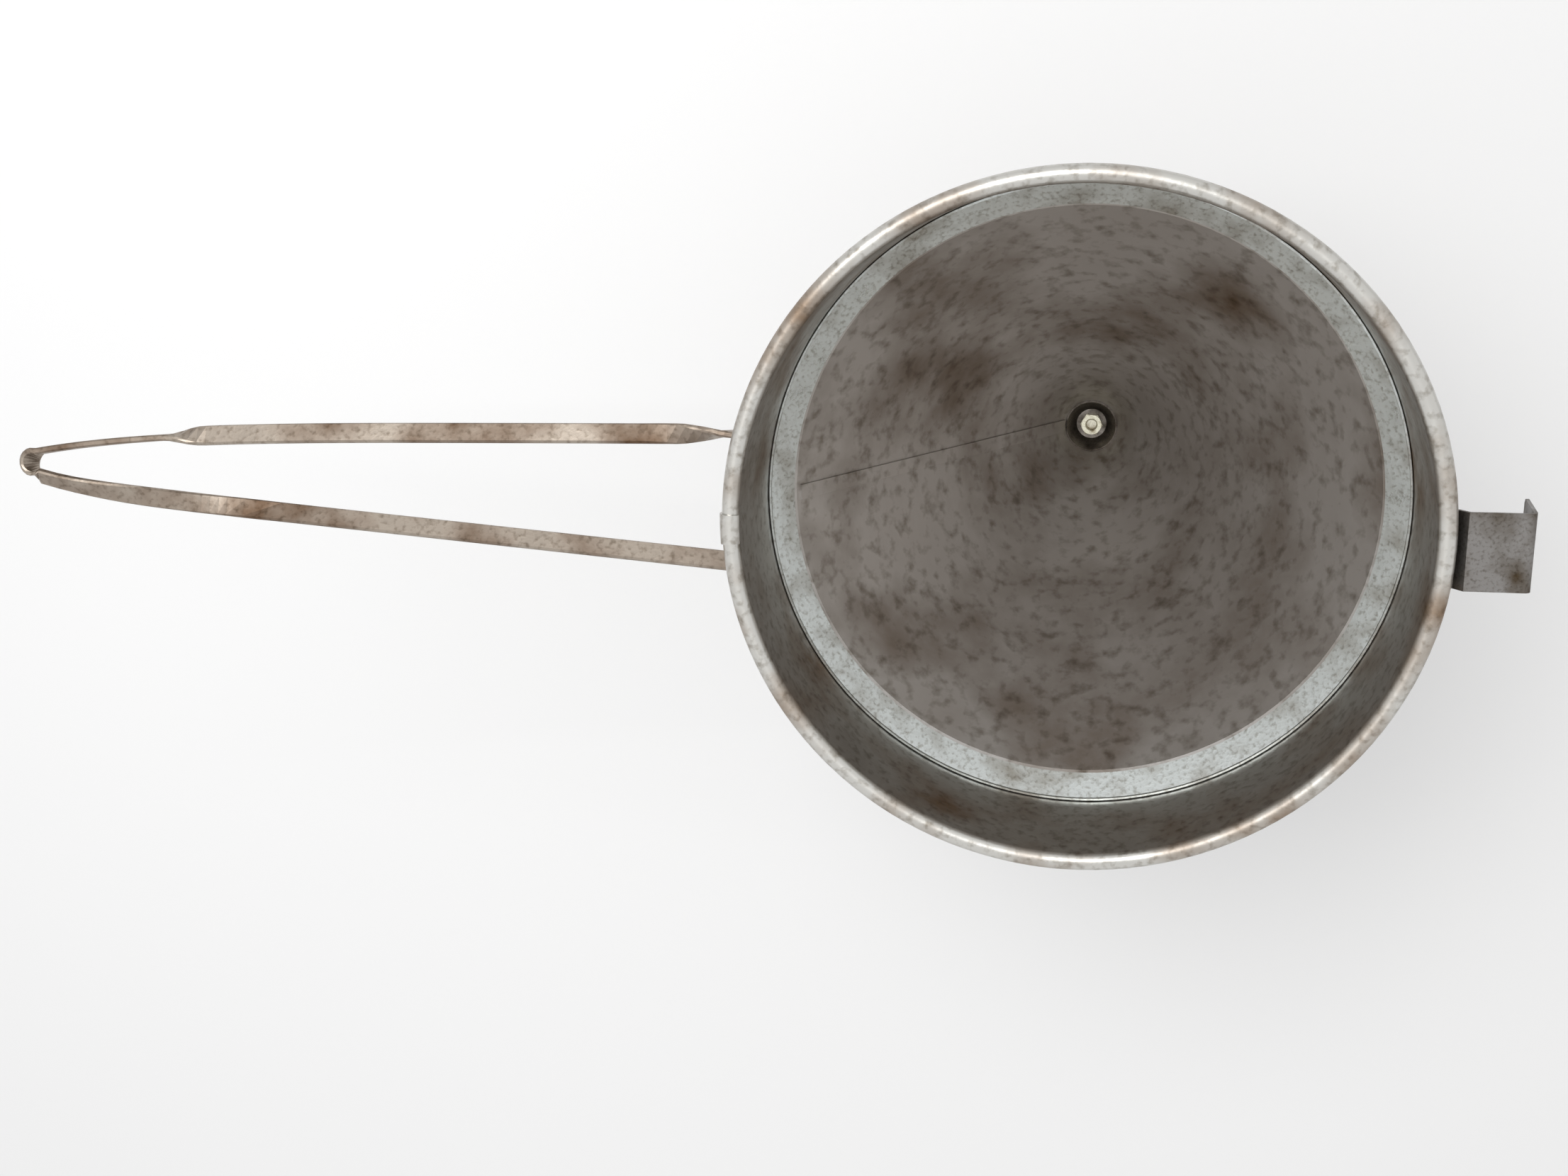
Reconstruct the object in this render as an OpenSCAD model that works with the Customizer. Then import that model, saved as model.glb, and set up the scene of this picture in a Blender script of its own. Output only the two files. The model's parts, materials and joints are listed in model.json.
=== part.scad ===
// Cone strainer: a solid collar with a wired rim, a perforated cone with a lapped seam,
// guard wires outside the cone, a strap handle and a hook that rests on a pot.
// The origin is the centre of the mouth, in the plane of the rim's top. Z points up, the cone
// hangs down, the handle lies towards -X and the hook towards +X. Sizes are in millimetres.

/* [Collar] */
// Inside diameter of the mouth
mouth_d = 203; // [185:1:230]
// Height of the upright wall, from the top of the rim to the fold
collar_h = 46.2; // [36:0.2:60]
// Thickness of the collar's sheet
collar_t = 0.7; // [0.5:0.1:1]
// Diameter of the wire inside the rolled rim
rim_wire_d = 4; // [3:0.1:5]
// Width of the flange that is turned in to carry the cone, along its slope
flange_w = 10.4; // [8:0.2:14]
// Slope of the flange below the horizontal, in degrees
flange_slope = 45; // [40:1:52]
// Width of the lap where the two ends of the collar's sheet meet
collar_lap = 9.5; // [6:0.5:14]
// Direction of the lap, in degrees round the mouth
collar_lap_az = 183.4; // [180:0.1:186]

/* [Cone] */
// Angle between the cone's wall and its axis, in degrees
cone_half = 30; // [26:0.5:34]
// Thickness of the perforated sheet
cone_t = 0.6; // [0.5:0.1:0.9]
// Radius of the opening at the cone's tip, which the tip screw passes
cone_tip_r = 3.5; // [3:0.1:4]
// Width of the plain strip along the lapped seam
seam_w = 5; // [4:0.5:8]
// Direction of the seam, in degrees round the mouth
seam_az = 183; // [178:0.5:188]
// Thickness of the ring that clamps the cone's border
ring_t = 0.6; // [0.5:0.1:0.9]
// Height of the ring's upturned edge beside the collar's wall
ring_lip = 1.4; // [1:0.1:3]
// Gap between the ring's upturned edge and the wall
ring_gap = 0.4; // [0.3:0.1:0.8]

/* [Guard wires] */
// Diameter of a guard wire
guard_d = 4.2; // [3:0.1:5]
// Directions of the guard wires, which were set by hand, in degrees round the mouth
guard_az = [37, 109, 183, 258, 325];

/* [Tip] */
// Diameter of the tip screw's thread
screw_d = 4; // [3.5:0.1:4.5]
// Width of the nut across its flats
nut_af = 8; // [7:0.1:9]
// Thickness of the nut
nut_h = 3.2; // [2.6:0.1:4]
// Diameter of the screw's pan head
screw_head_d = 8; // [7:0.1:9]
// Height of the screw's pan head
screw_head_h = 2.6; // [2:0.1:3.2]
// Radius of the inner cup's flat bottom, on which the nut sits
cup_flat_r = 6.5; // [5.5:0.1:8]
// Radius of the inner cup at its edge
cup_r = 10.5; // [9:0.1:14]
// Thickness of the inner cup's sheet
cup_t = 0.8; // [0.6:0.1:1.2]
// Thickness of the outer cap's sheet
cap_t = 1; // [0.8:0.1:1.5]
// Height of the outer cap over its floor
cap_h = 15; // [11:0.5:20]

/* [Handle] */
// Length of the handle, from the collar's wall to the outside of its end
handle_l = 239; // [200:1:280]
// Width of the strap
strap_w = 6.4; // [5:0.1:8]
// Thickness of the strap
strap_t = 2; // [1.6:0.1:2.6]
// Half the distance between the middles of the legs where they leave the collar
leg_y = 20.6; // [17:0.2:26]
// How far each leg closes in steadily towards the end
leg_taper = 11.5; // [9:0.5:12]
// Distance by which the handle's root stands off the mouth's middle, towards +Y
handle_y = 0.7; // [-2:0.1:2]
// Distance by which the handle's end stands off the mouth's middle, towards +Y
turn_y = -0.9; // [-2:0.1:2]
// Radius of the turn at the handle's end, at the middle of the strap
turn_r = 4.2; // [3.6:0.1:5]
// Depth of the strap's middle under the rim's top where it leaves the collar
handle_drop = 14; // [12:0.5:20]
// Rise of the handle towards its end, in degrees
handle_rise = 5.7; // [2:0.1:9]
// Length of each welded foot on the collar's wall
foot_l = 18; // [12:0.5:24]
// Radius of the bends between the feet and the legs
foot_bend_r = 4; // [3:0.5:6]

/* [Hook] */
// Width of the hook
hook_w = 23; // [18:0.5:32]
// Thickness of the hook's sheet
hook_t = 1; // [0.8:0.1:1.6]
// Length of the hook's plate, from the outside of the rim to the outside of its bend
hook_l = 20.9; // [16:0.1:34]
// Length of the hook's lip, from the top of its plate
hook_lip = 22; // [14:0.5:28]
// Lean of the lip away from the collar, in degrees
hook_lean = 5; // [0:1:10]
// Depth of the plate's top under the rim's top
hook_drop = 3.2; // [2:0.1:4]
// Length of the foot that is welded to the collar's wall
hook_foot = 14; // [10:0.5:20]
// Outer radius of the bend between the plate and the lip
hook_bend_r = 2; // [1.8:0.1:4]
// Cut across each corner of the lip
hook_corner = 1.5; // [1:0.5:6]
// Direction in which the hook points, in degrees from +X
hook_az = 3.3; // [-5:0.1:5]
// Distance by which the hook's middle line passes beside the mouth's middle, towards +Y
hook_off = -1.9; // [-5:0.1:5]

/* [Hidden] */
// Clearance between pieces that are welded or pressed together
fit = 0.05;
mouth_r = mouth_d/2;
wire_hole_r = rim_wire_d/2 + fit;
bead_r = wire_hole_r + collar_t;
wall_r = mouth_r + collar_t;
bead_mid = [mouth_r + bead_r, -bead_r];
rim_r = bead_mid[0] + bead_r;
// Angles at which the rolled edge starts on the wall and ends beside it
roll_from = 225;
roll_to = 540;
// Angles between which the lap lies over the rolled edge
lap_from = -100;
lap_to = 150;
lap_angle = collar_lap/rim_r*180/PI;

// The flange's slope: down and inwards along it, and square to it towards the inside
fold = [mouth_r, -collar_h];
slope_in = [-cos(flange_slope), -sin(flange_slope)];
slope_up = [-sin(flange_slope), cos(flange_slope)];
bend = fold + flange_w*slope_in;
border_gap = 0.3;
// Distance by which the ring's inner edge stays outside the cone's bend
ring_edge = 1.2;

// The cone's outer surface runs from the bend down to its apex
cone_in = [-sin(cone_half), -cos(cone_half)];
cone_out = [cos(cone_half), -sin(cone_half)];
apex_z = bend[1] - bend[0]/tan(cone_half);
inner_apex_z = apex_z + cone_t/sin(cone_half);

guard_r = guard_d/2;
guard_off = guard_r + fit;
guard_n = len(guard_az);
// Least radius at which the wires' lower ends clear the screw and each other
guard_end_r = max(screw_d/2 + guard_r/cos(cone_half) + 0.5, (guard_d + 0.4)/2/sin(180/guard_n)*1.08);
guard_end_z = apex_z + (guard_end_r - guard_off/cos(cone_half))/tan(cone_half);
floor_z = guard_end_z - guard_r*sin(cone_half) - 0.3;

cup_z = inner_apex_z + cup_flat_r/tan(cone_half);
nut_z = cup_z + cup_t;
screw_top = nut_z + nut_h - 1.2;
nut_chamfer = 0.5;
shank_gap = 0.25;

// The strap's middle line: feet on the wall, legs that close in, and a turn at the end
foot_r = wall_r + fit + strap_t/2;
root_a = leg_y + handle_y;
root_b = leg_y - handle_y;
bend_x = -sqrt(pow(foot_r + foot_bend_r, 2) - pow(root_a + foot_bend_r, 2));
turn_tilt = 11;
turn_x = -wall_r - handle_l + strap_w/2 + turn_r;
leg_end = turn_x - turn_r*sin(turn_tilt);
// How far each leg bends in near the end, to meet the turn
pinch_a = root_a - leg_taper - turn_y - turn_r*cos(turn_tilt);
pinch_b = root_b - leg_taper + turn_y - turn_r*cos(turn_tilt);
edge_cut = 0.5;
hook_reach = rim_r + hook_l;
arm_z = -2*bead_r - 2*fit - collar_t;

$fn = 96;

// A sheet's outline: its path and the same path set off to the left by the sheet's thickness
function unit(v) = v/norm(v);
function left(v) = [-v[1], v[0]];
function side(p, i) = left(unit(p[i + 1] - p[i]));
function set_off(p, i, t) =
    let(a = side(p, max(i - 1, 0)), b = side(p, min(i, len(p) - 2)))
    p[i] + t*(a + b)/(1 + a*b);
function sheet(p, t) = concat(p, [for (i = [len(p) - 1:-1:0]) set_off(p, i, t)]);

// A point on the flange: x along the slope from the fold, y above the flange's top
function on_slope(x, y) = fold + x*slope_in + y*slope_up;
// The x at which a layer at height y keeps a gap from the wall
function slope_x(gap, y) = (gap - y*sin(flange_slope))/cos(flange_slope);
// A point beside the cone: s down its outer surface from the bend, d outside it
function on_cone(s, d) = bend + s*cone_in + d*cone_out;
// Where the line through a along u meets the line through b along v
function meet(a, u, b, v) = a + u*((b - a)*left(v))/(u*left(v));

module revolve(from = 0, angle = 360) {
    rotate([0, 0, from]) rotate_extrude(angle = angle, $fn = 180) children();
}

// The rolled edge, as a ring of sheet that is open beside the wall
module roll(inner, outer) {
    translate(bead_mid) difference() {
        circle(r = outer);
        circle(r = inner);
        polygon([[0, 0], for (a = [roll_to - 360:5:roll_from]) 2*outer*[cos(a), sin(a)]]);
    }
}

module collar_profile() {
    polygon(sheet([[mouth_r, -bead_r], fold, bend], collar_t));
    roll(wire_hole_r, bead_r);
}

// The end of the sheet that lies over the other end, outside the rim and the wall
module lap_profile() {
    translate(bead_mid) intersection() {
        difference() {
            circle(r = bead_r + collar_t);
            circle(r = bead_r - collar_t/2);
        }
        polygon([[0, 0], for (a = [lap_from:10:lap_to]) 2*bead_r*[cos(a), sin(a)]]);
    }
    translate([wall_r - collar_t/2, -collar_h + collar_t]) square([1.5*collar_t, collar_h - 3*bead_r]);
}

module collar_band() {
    color([0.56, 0.54, 0.5]) {
        revolve() collar_profile();
        revolve(collar_lap_az - lap_angle/2, lap_angle) lap_profile();
    }
}

module rim_wire() {
    color([0.5, 0.5, 0.5]) revolve() translate(bead_mid) circle(d = rim_wire_d);
}

// The cone's sheet: a border on the flange, and the wall down to the opening at the tip
module perforated_cone() {
    border = on_slope(slope_x(border_gap, 0), 0);
    tip = [cone_tip_r, apex_z + cone_tip_r/tan(cone_half)];
    seam_top = on_slope(flange_w - 1, cone_t);
    seam_tip = [cup_r + 0.5, inner_apex_z + (cup_r + 0.5)/tan(cone_half)];
    color([0.72, 0.72, 0.71]) {
        revolve() polygon(sheet([border, bend, tip], -cone_t));
        // The plain strip of the lap lies on the inside of the cone
        rotate([0, 0, seam_az]) intersection() {
            revolve() polygon([
                on_cone(ring_t + 1.2, -cone_t/2), on_cone(ring_t + 1.2, -2*cone_t),
                on_cone(norm(bend - seam_tip), -2*cone_t), on_cone(norm(bend - seam_tip), -cone_t/2)]);
            translate([0, -seam_w/2, apex_z]) cube([2*mouth_r, seam_w, -apex_z]);
        }
    }
}

// The ring over the cone's border, with its outer edge turned up beside the wall
module clamp_ring() {
    corner = on_slope(slope_x(ring_gap, cone_t + fit), cone_t + fit);
    inner_end = on_slope(flange_w - ring_edge, cone_t + fit);
    color([0.7, 0.73, 0.72])
        revolve() polygon(sheet([corner + [0, ring_lip], corner, inner_end], -ring_t));
}

// A straight wire along the outside of the cone, with its upper end filed to fit the flange
module guard_wire(az) {
    length = (wall_r + guard_d - guard_end_r)/sin(cone_half);
    under = -collar_t - fit;
    color([0.66, 0.66, 0.64]) intersection() {
        rotate([0, 0, az]) translate([guard_end_r, 0, guard_end_z]) rotate([0, cone_half, 0])
            cylinder(r = guard_r, h = length, $fn = 48);
        revolve() polygon([[0, floor_z - guard_d], [wall_r, floor_z - guard_d],
            on_slope(slope_x(-collar_t, under), under), on_slope(flange_w + 2, under), [0, bend[1]]]);
    }
}

// The cup outside the tip, which holds the lower ends of the wires against the cone
module tip_cap() {
    depth = guard_off + guard_r + fit;
    slope = [sin(cone_half), cos(cone_half)];
    corner = meet(on_cone(0, depth), slope, [0, floor_z], [1, 0]);
    color([0.6, 0.58, 0.54]) revolve() polygon(sheet([
        corner + slope*cap_h/cos(cone_half), corner, [screw_d/2 + shank_gap, floor_z]], cap_t));
}

module tip_screw() {
    head_z = floor_z - cap_t;
    color([0.62, 0.6, 0.55]) {
        translate([0, 0, head_z]) cylinder(d = screw_d, h = screw_top - head_z, $fn = 48);
        difference() {
            translate([0, 0, head_z]) revolve() intersection() {
                translate([0, -screw_head_h]) square([screw_head_d/2, screw_head_h]);
                translate([0, screw_head_d/2 - screw_head_h]) circle(r = screw_head_d/2*1.15);
            }
            translate([-screw_head_d, -0.5, head_z - screw_head_h - 1]) cube([2*screw_head_d, 1, 2]);
        }
    }
}

// The cup inside the tip, with a flat bottom for the nut and a wall that lies on the cone
module inner_cup() {
    rim = [cup_r, inner_apex_z + cup_r/tan(cone_half)] - fit*cone_out;
    corner = [cup_flat_r, cup_z] - fit*cone_out;
    color([0.36, 0.34, 0.3]) revolve()
        polygon(sheet([rim, corner, [screw_d/2 + shank_gap, corner[1]]], -cup_t));
}

module hex_nut() {
    z = nut_z + fit;
    color([0.82, 0.8, 0.68]) difference() {
        intersection() {
            translate([0, 0, z]) cylinder(d = nut_af/cos(30), h = nut_h, $fn = 6);
            translate([0, 0, z]) revolve() polygon([[0, 0], [nut_af/2, 0], [nut_af/2 + nut_chamfer*2, nut_chamfer],
                [nut_af/2 + nut_chamfer*2, nut_h - nut_chamfer], [nut_af/2, nut_h], [0, nut_h]]);
        }
        translate([0, 0, z - 1]) cylinder(d = screw_d + 2*fit, h = nut_h + 2, $fn = 48);
        translate([0, 0, z + nut_h - nut_chamfer]) cylinder(r1 = screw_d/2, r2 = screw_d/2 + 2*nut_chamfer, h = 2*nut_chamfer, $fn = 48);
    }
}

// Stations of the strap: the middle's place, the direction across the strap when it lies flat,
// and the roll about the strap's length, which is 0 when flat and 90 with the outer edge up
function rise(x) = -handle_drop + max(0, bend_x - x)*tan(handle_rise);
function leg_x(u) = bend_x + u*(leg_end - bend_x);
function leg_a(u) = root_a - leg_taper*u - pinch_a*pow(u, 6);
function leg_b(u) = root_b - leg_taper*u - pinch_b*pow(u, 14);
function ease(x) = let(c = min(1, max(0, x))) c*c*(3 - 2*c);
// The leg on the +Y side is on edge at the collar, leans in the grip and is on edge at the end
function roll_a(u) = 90 - 90*ease(u/0.105) - 29*ease((u - 0.06)/0.08) - 71*ease((u - 0.75)/0.06);
// The leg on the -Y side leans the other way, and turns over its middle close to the end
function roll_b(u) = 38 - 38*ease((u - 0.62)/0.2) - 34*ease((u - 0.8)/0.2);
// In the turn the strap's lower edge swings in by a quarter of this at most
turn_swing = 200;
// Places along a leg, closer together where the strap twists
leg_u = concat([for (i = [1:12]) i/80], [for (i = [4:14]) i/20], [for (i = [58:68]) i/80],
    [for (i = [35:40]) i/40]);
leg_n = len(leg_u);
turn_steps = 12;
bend_steps = 5;
foot_a = foot_l/foot_r*180/PI;
bend_a = atan2(root_a + foot_bend_r, -bend_x);
// Place and direction of the foot on the -Y side
foot_b = asin(root_b/foot_r);
foot_x = -foot_r*cos(foot_b);
stations = concat(
    // The foot that lies round the wall
    [for (i = [0:4]) let(a = 180 - bend_a - foot_a*(1 - i/4))
        [[foot_r*cos(a), foot_r*sin(a), -handle_drop], [cos(a), sin(a), 0], 90]],
    // The bend from the wall into the leg
    [for (i = [1:bend_steps]) let(a = -bend_a - (90 - bend_a)*i/bend_steps)
        [[bend_x + foot_bend_r*cos(a), root_a + foot_bend_r + foot_bend_r*sin(a), -handle_drop],
            [-cos(a), -sin(a), 0], 90]],
    // The leg on the +Y side
    [for (u = leg_u) [[leg_x(u), leg_a(u), rise(leg_x(u))], [0, 1, 0], roll_a(u)]],
    // The turn at the end
    [for (i = [1:turn_steps - 1]) let(a = 90 + turn_tilt + (180 - 2*turn_tilt)*i/turn_steps,
            x = turn_x + turn_r*cos(a), f = i/turn_steps)
        [[x, turn_y + turn_r*sin(a), rise(x)], [cos(a), sin(a), 0],
            roll_a(1)*(1 - f) + roll_b(1)*f - turn_swing*f*(1 - f)]],
    // The leg on the -Y side
    [for (i = [leg_n - 1:-1:0]) let(u = leg_u[i], x = min(leg_x(u), foot_x - foot_bend_r - 0.5))
        [[x, -leg_b(u), rise(x)], [0, -1, 0], roll_b(u)]],
    // The bend down the wall, where the strap turns square to the wall
    [for (i = [0:bend_steps]) let(a = 90*i/bend_steps, b = foot_b*i/bend_steps)
        [[foot_x - foot_bend_r*(1 - sin(a)), -root_b, -handle_drop - foot_bend_r*(1 - cos(a))],
            [sin(b), -cos(b), 0], roll_b(0)*(1 - i/bend_steps)]],
    // The foot that lies down the wall
    [[[foot_x, -root_b, -handle_drop - foot_bend_r - foot_l], [sin(foot_b), -cos(foot_b), 0], 0]]);

// The strap's section, with its edges taken off
strap_section = let(w = strap_w/2, t = strap_t/2, c = edge_cut)
    [[w, t - c], [w - c, t], [c - w, t], [-w, t - c], [-w, c - t], [c - w, -t], [w - c, -t], [w, c - t]];

module handle_strap() {
    n = len(stations);
    m = len(strap_section);
    rings = [for (i = [0:n - 1]) let(
            s = stations[i],
            t = unit(stations[min(i + 1, n - 1)][0] - stations[max(i - 1, 0)][0]),
            flat = unit(s[1] - t*(s[1]*t)),
            w = flat*cos(s[2]) + cross(flat, t)*sin(s[2]),
            v = cross(t, w))
        [for (q = strap_section) s[0] + w*q[0] + v*q[1]]];
    color([0.5, 0.42, 0.36]) polyhedron(
        points = [for (r = rings) each r],
        faces = concat(
            [[for (j = [0:m - 1]) j]],
            [[for (j = [m - 1:-1:0]) (n - 1)*m + j]],
            [for (i = [0:n - 2]) for (j = [0:m - 1]) [i*m + j, (i + 1)*m + j, i*m + (j + 1)%m]],
            [for (i = [0:n - 2]) for (j = [0:m - 1]) [(i + 1)*m + j, (i + 1)*m + (j + 1)%m, i*m + (j + 1)%m]]));
}

// The hook's outline from the side: an arm, a step up, a plate, a bend and a leaning lip
module hook_profile() {
    step_x = rim_r + 0.3;
    bend_mid = [hook_reach - hook_bend_r, -hook_drop - hook_bend_r];
    polygon(sheet([[wall_r - 2, arm_z], [step_x, arm_z], [step_x + 2.4, -hook_drop],
        [bend_mid[0], -hook_drop]], -hook_t));
    translate(bend_mid) {
        intersection() {
            difference() {
                circle(r = hook_bend_r);
                circle(r = hook_bend_r - hook_t);
            }
            polygon([[0, 0], 2*hook_bend_r*[cos(hook_lean), sin(hook_lean)], 2*hook_bend_r*[1, 1],
                [0, 2*hook_bend_r]]);
        }
        rotate(hook_lean) translate([hook_bend_r - hook_t, hook_bend_r - hook_lip])
            square([hook_t, hook_lip - hook_bend_r]);
    }
}

// The hook: a foot round the wall, and the bent plate with the lip's corners cut off
module pot_hook() {
    lip_z = -hook_drop - hook_lip;
    color([0.34, 0.33, 0.32]) {
        intersection() {
            translate([0, 0, arm_z - hook_foot]) difference() {
                cylinder(r = wall_r + fit + hook_t, h = hook_foot - hook_t/2, $fn = 180);
                translate([0, 0, -1]) cylinder(r = wall_r + fit, h = hook_foot + 2, $fn = 180);
            }
            rotate([0, 0, hook_az]) translate([0, hook_off - hook_w/2, -collar_h])
                cube([2*mouth_r, hook_w, collar_h]);
        }
        difference() {
            rotate([0, 0, hook_az]) translate([0, hook_off, 0]) intersection() {
                translate([0, hook_w/2, 0]) rotate([90, 0, 0]) linear_extrude(hook_w) hook_profile();
                rotate([90, 0, 90]) linear_extrude(2*mouth_r) polygon([
                    [-hook_w/2, 0], [-hook_w/2, lip_z + hook_corner], [-hook_w/2 + hook_corner, lip_z],
                    [hook_w/2 - hook_corner, lip_z], [hook_w/2, lip_z + hook_corner], [hook_w/2, 0]]);
            }
            translate([0, 0, -collar_h]) cylinder(r = wall_r + fit, h = collar_h, $fn = 180);
        }
    }
}

collar_band();
rim_wire();
perforated_cone();
clamp_ring();
guard_wire(guard_az[0]);  // guard_wire_1
guard_wire(guard_az[1]);  // guard_wire_2
guard_wire(guard_az[2]);  // guard_wire_3
guard_wire(guard_az[3]);  // guard_wire_4
guard_wire(guard_az[4]);  // guard_wire_5
tip_cap();
tip_screw();
inner_cup();
hex_nut();
handle_strap();
pot_hook();
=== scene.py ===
import json

import bpy
from mathutils import Matrix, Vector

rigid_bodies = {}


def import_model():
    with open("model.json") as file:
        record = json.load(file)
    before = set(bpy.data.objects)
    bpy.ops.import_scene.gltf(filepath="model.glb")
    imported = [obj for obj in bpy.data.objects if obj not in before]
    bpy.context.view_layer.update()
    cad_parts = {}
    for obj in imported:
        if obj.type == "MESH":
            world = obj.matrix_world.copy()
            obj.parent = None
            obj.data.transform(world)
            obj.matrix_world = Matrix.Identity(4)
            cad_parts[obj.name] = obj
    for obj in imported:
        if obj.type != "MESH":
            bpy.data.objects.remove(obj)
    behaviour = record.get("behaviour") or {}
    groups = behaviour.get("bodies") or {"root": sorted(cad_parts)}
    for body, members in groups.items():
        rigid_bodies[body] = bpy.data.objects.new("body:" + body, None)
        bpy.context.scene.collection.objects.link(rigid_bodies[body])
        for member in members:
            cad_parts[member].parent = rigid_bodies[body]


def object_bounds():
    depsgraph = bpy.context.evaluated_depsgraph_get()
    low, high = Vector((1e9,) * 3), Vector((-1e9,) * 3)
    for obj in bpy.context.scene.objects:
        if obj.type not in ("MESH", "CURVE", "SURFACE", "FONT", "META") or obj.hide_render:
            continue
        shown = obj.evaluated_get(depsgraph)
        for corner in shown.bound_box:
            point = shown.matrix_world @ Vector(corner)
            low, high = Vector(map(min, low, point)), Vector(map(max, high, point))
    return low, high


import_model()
cad_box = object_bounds()

# The camera of the photograph, in the part's frame
CAMERA_AT = (0.0085, 0.1146, 0.4740)
CAMERA_RIGHT = (0.97816, 0.03361, -0.20510)
CAMERA_UP = (-0.08789, 0.96115, -0.26166)
CAMERA_BACK = (0.18833, 0.27397, 0.94312)
LENS_MM = 37.43
SENSOR_MM = 36
FLOOR_GAP = 0.001

# Each metal: clean colour, dark colour of real stains and painted reflections, share of that
# dark colour, roughness, size of the stain and painted reflection patches (1/m)
METALS = {
    "collar_band": ((0.56, 0.55, 0.52), (0.20, 0.12, 0.06), 0.40, 0.34, 30),
    "rim_wire": ((0.60, 0.59, 0.56), (0.25, 0.18, 0.10), 0.30, 0.30, 40),
    "perforated_cone": ((0.52, 0.50, 0.48), (0.14, 0.09, 0.05), 0.45, 0.42, 18),
    "clamp_ring": ((0.60, 0.63, 0.62), (0.30, 0.28, 0.24), 0.35, 0.32, 60),
    "guard_wire": ((0.55, 0.55, 0.53), (0.22, 0.16, 0.10), 0.35, 0.35, 60),
    "tip_cap": ((0.30, 0.28, 0.25), (0.10, 0.07, 0.05), 0.45, 0.45, 120),
    "tip_screw": ((0.62, 0.60, 0.50), (0.22, 0.17, 0.10), 0.30, 0.35, 200),
    "inner_cup": ((0.22, 0.20, 0.18), (0.05, 0.04, 0.03), 0.50, 0.40, 150),
    "hex_nut": ((0.66, 0.64, 0.52), (0.25, 0.20, 0.12), 0.25, 0.30, 250),
    "handle_strap": ((0.36, 0.31, 0.26), (0.12, 0.07, 0.04), 0.50, 0.40, 45),
    "pot_hook": ((0.24, 0.23, 0.22), (0.07, 0.05, 0.03), 0.50, 0.42, 80),
}


def make_camera():
    data = bpy.data.cameras.new("camera")
    data.lens = LENS_MM
    data.sensor_width = SENSOR_MM
    data.clip_start = 0.01
    camera = bpy.data.objects.new("camera", data)
    turn = Matrix((CAMERA_RIGHT, CAMERA_UP, CAMERA_BACK)).transposed().to_4x4()
    camera.matrix_world = Matrix.Translation(CAMERA_AT) @ turn
    bpy.context.scene.collection.objects.link(camera)
    bpy.context.scene.camera = camera


def noise(tree, coords, scale, detail):
    node = tree.nodes.new("ShaderNodeTexNoise")
    node.inputs["Scale"].default_value = scale
    node.inputs["Detail"].default_value = detail
    tree.links.new(coords.outputs["Object"], node.inputs["Vector"])
    return node.outputs["Fac"]


def spread(tree, value, low, high, to_low, to_high):
    node = tree.nodes.new("ShaderNodeMapRange")
    node.inputs["From Min"].default_value = low
    node.inputs["From Max"].default_value = high
    node.inputs["To Min"].default_value = to_low
    node.inputs["To Max"].default_value = to_high
    tree.links.new(value, node.inputs["Value"])
    return node.outputs["Result"]


def worn_metal_with_painted_reflections(name, clean, stain_and_reflection_colour, stain_and_reflection_share, rough, scale):
    """Worn metal: broad dark patches that are partly real stains and partly painted
    reflections of the surroundings, fine speckle, uneven polish and small dents.
    """
    material = bpy.data.materials.new(name)
    material.use_nodes = True
    tree = material.node_tree
    shader = tree.nodes["Principled BSDF"]
    shader.inputs["Metallic"].default_value = 1.0
    coords = tree.nodes.new("ShaderNodeTexCoord")
    broad = noise(tree, coords, scale, 6)
    fine = noise(tree, coords, scale * 12, 4)

    # broad noise mask for the dark colour: partly real stains, partly painted dark reflections
    # fixed to the surface
    stain_and_reflection_mask = spread(tree, broad, 0.62 - stain_and_reflection_share * 0.4, 0.72, 0, 1)
    colour = tree.nodes.new("ShaderNodeMix")
    colour.data_type = "RGBA"
    colour.inputs[6].default_value = (*clean, 1)
    colour.inputs[7].default_value = (*stain_and_reflection_colour, 1)
    tree.links.new(stain_and_reflection_mask, colour.inputs[0])

    speckle = tree.nodes.new("ShaderNodeMix")
    speckle.data_type = "RGBA"
    speckle.blend_type = "MULTIPLY"
    speckle.inputs[7].default_value = (0.55, 0.52, 0.48, 1)
    tree.links.new(spread(tree, fine, 0.5, 0.75, 0, 1), speckle.inputs[0])
    tree.links.new(colour.outputs[2], speckle.inputs[6])
    tree.links.new(speckle.outputs[2], shader.inputs["Base Color"])

    tree.links.new(spread(tree, broad, 0.3, 0.7, rough - 0.08, rough + 0.18),
                   shader.inputs["Roughness"])
    bump = tree.nodes.new("ShaderNodeBump")
    bump.inputs["Strength"].default_value = 0.25
    bump.inputs["Distance"].default_value = 0.0003
    tree.links.new(fine, bump.inputs["Height"])
    tree.links.new(bump.outputs["Normal"], shader.inputs["Normal"])
    return material


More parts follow.
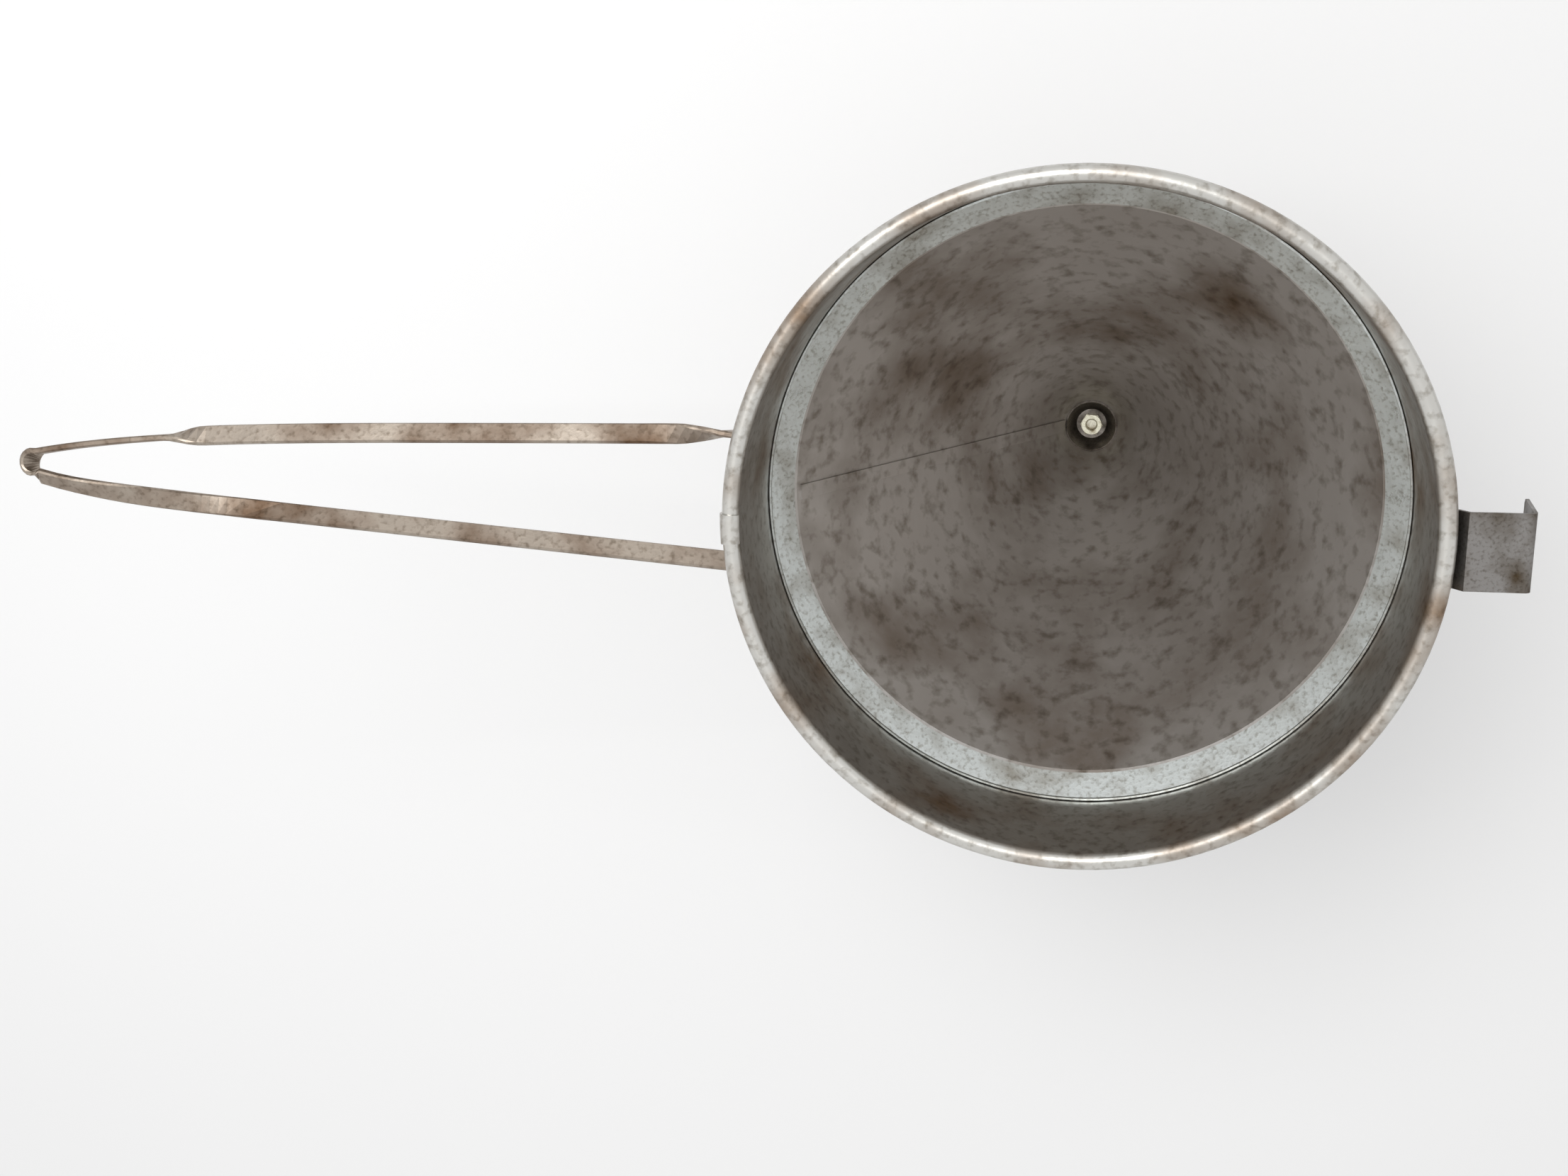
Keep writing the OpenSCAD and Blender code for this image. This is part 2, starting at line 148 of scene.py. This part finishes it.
def dress():
    """Give every CAD node the metal of its kind."""
    metals = {name: worn_metal_with_painted_reflections(name, *look) for name, look in METALS.items()}
    for obj in bpy.context.scene.objects:
        for name, metal in metals.items():
            if obj.type == "MESH" and obj.name.startswith(name):
                obj.data.materials.clear()
                obj.data.materials.append(metal)


def make_stage():
    world = bpy.data.worlds.new("world")
    bpy.context.scene.world = world
    world.use_nodes = True
    tree = world.node_tree
    lit = tree.nodes["Background"]
    lit.inputs["Color"].default_value = (1, 1, 1, 1)
    lit.inputs["Strength"].default_value = 0.8
    seen = tree.nodes.new("ShaderNodeBackground")
    seen.inputs["Color"].default_value = (1, 1, 1, 1)
    seen.inputs["Strength"].default_value = 1
    path = tree.nodes.new("ShaderNodeLightPath")
    mix = tree.nodes.new("ShaderNodeMixShader")
    shows = path.outputs["Is Camera Ray"]
    for ray in ("Is Glossy Ray", "Is Transmission Ray"):
        either = tree.nodes.new("ShaderNodeMath")
        either.operation = "MAXIMUM"
        tree.links.new(shows, either.inputs[0])
        tree.links.new(path.outputs[ray], either.inputs[1])
        shows = either.outputs["Value"]
    tree.links.new(shows, mix.inputs["Fac"])
    tree.links.new(lit.outputs["Background"], mix.inputs[1])
    tree.links.new(seen.outputs["Background"], mix.inputs[2])
    tree.links.new(mix.outputs["Shader"], tree.nodes["World Output"].inputs["Surface"])

    bpy.ops.mesh.primitive_plane_add(size=6, location=(0, 0, cad_box[0][2] - FLOOR_GAP))
    floor = bpy.context.object
    floor.name = "floor"
    paint = bpy.data.materials.new("floor_paint")
    paint.use_nodes = True
    shader = paint.node_tree.nodes["Principled BSDF"]
    shader.inputs["Base Color"].default_value = (0.9, 0.9, 0.9, 1)
    shader.inputs["Roughness"].default_value = 0.9
    floor.data.materials.append(paint)

    lamp = bpy.data.lights.new("key", "AREA")
    lamp.size = 0.5
    lamp.energy = 4
    key = bpy.data.objects.new("key", lamp)
    turn = Matrix((CAMERA_RIGHT, CAMERA_UP, CAMERA_BACK)).transposed().to_4x4()
    key.matrix_world = Matrix.Translation((-0.25, 0.35, 0.75)) @ turn
    bpy.context.scene.collection.objects.link(key)


make_camera()
bpy.context.scene.view_settings.view_transform = "Standard"
dress()
make_stage()
